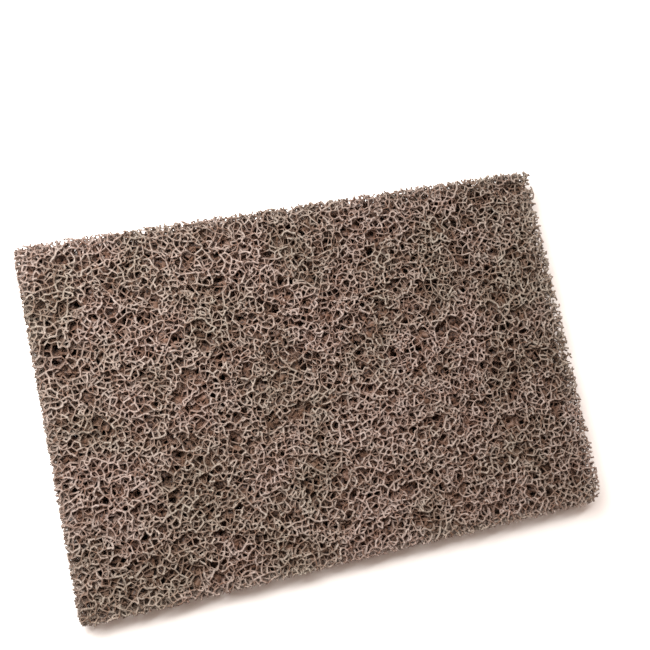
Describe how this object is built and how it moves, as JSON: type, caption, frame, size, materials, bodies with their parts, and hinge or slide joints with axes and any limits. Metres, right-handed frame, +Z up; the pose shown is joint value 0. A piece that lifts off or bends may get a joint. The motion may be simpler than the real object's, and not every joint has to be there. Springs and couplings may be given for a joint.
{
  "type": "griddle polishing pad",
  "caption": "Flat rectangular pad of open brown non-woven abrasive web, rubbed over a hot plate by hand or under a pad holder to scour and polish it.",
  "frame": {"origin": "middle of the underside, on the plane that the pad lies on", "axes": "+X along the pad's length, +Y across its width, +Z up through its thickness"},
  "size_m": [0.1524, 0.1016, 0.0095],
  "materials": {
    "abrasive_web": "matt, gritty, open fibre web"
  },
  "bodies": {
    "root": {"polishing_pad": "abrasive_web"}
  },
  "joints": []
}
